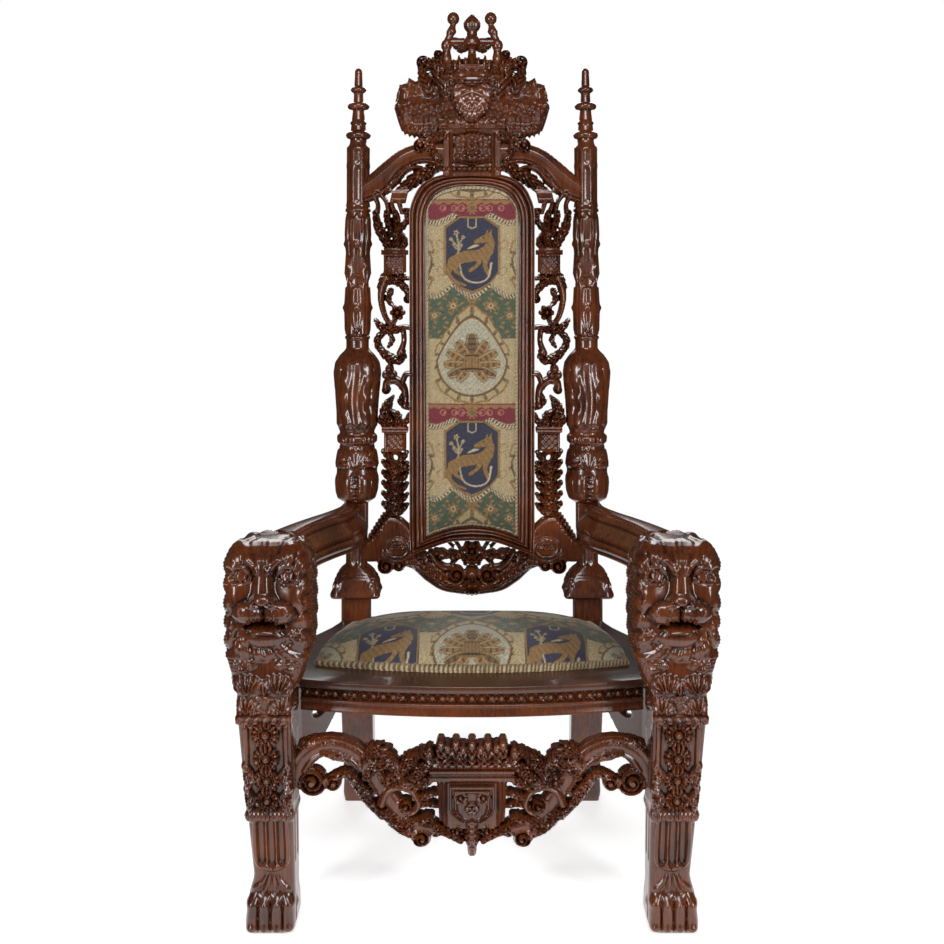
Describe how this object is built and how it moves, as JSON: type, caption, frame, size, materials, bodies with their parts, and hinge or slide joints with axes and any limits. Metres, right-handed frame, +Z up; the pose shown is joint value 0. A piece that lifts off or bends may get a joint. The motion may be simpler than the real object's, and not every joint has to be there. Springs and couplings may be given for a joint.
{
  "type": "throne",
  "caption": "Carved hardwood throne: lion-head armrests on paw feet, tall pierced back with turned posts and crested top, tapestry back panel and loose seat cushion.",
  "frame": {"origin": "middle of the chair's footprint box, on the floor", "axes": "+Z up, +X to the right seen from the front, the front faces -Y"},
  "size_m": [0.9298, 0.756, 1.85],
  "materials": {
    "mahogany": "gloss lacquer over dark red-brown stain",
    "tapestry": "matt woven tapestry"
  },
  "bodies": {
    "root": {"front_leg_left": "mahogany", "front_leg_right": "mahogany", "rear_post_left": "mahogany", "rear_post_right": "mahogany", "armrest_left": "mahogany", "armrest_right": "mahogany", "seat_board": "mahogany", "front_rail": "mahogany", "side_rail_left": "mahogany", "side_rail_right": "mahogany", "side_apron_left": "mahogany", "side_apron_right": "mahogany", "rear_rail": "mahogany", "front_stretcher": "mahogany", "back_frame": "mahogany", "back_board": "mahogany", "shoulder_rail_left": "mahogany", "shoulder_rail_right": "mahogany", "pierced_strip_left": "mahogany", "pierced_strip_right": "mahogany", "lower_back_rail": "mahogany", "crest": "mahogany", "seat_cushion": "tapestry", "back_pad": "tapestry"}
  },
  "joints": []
}
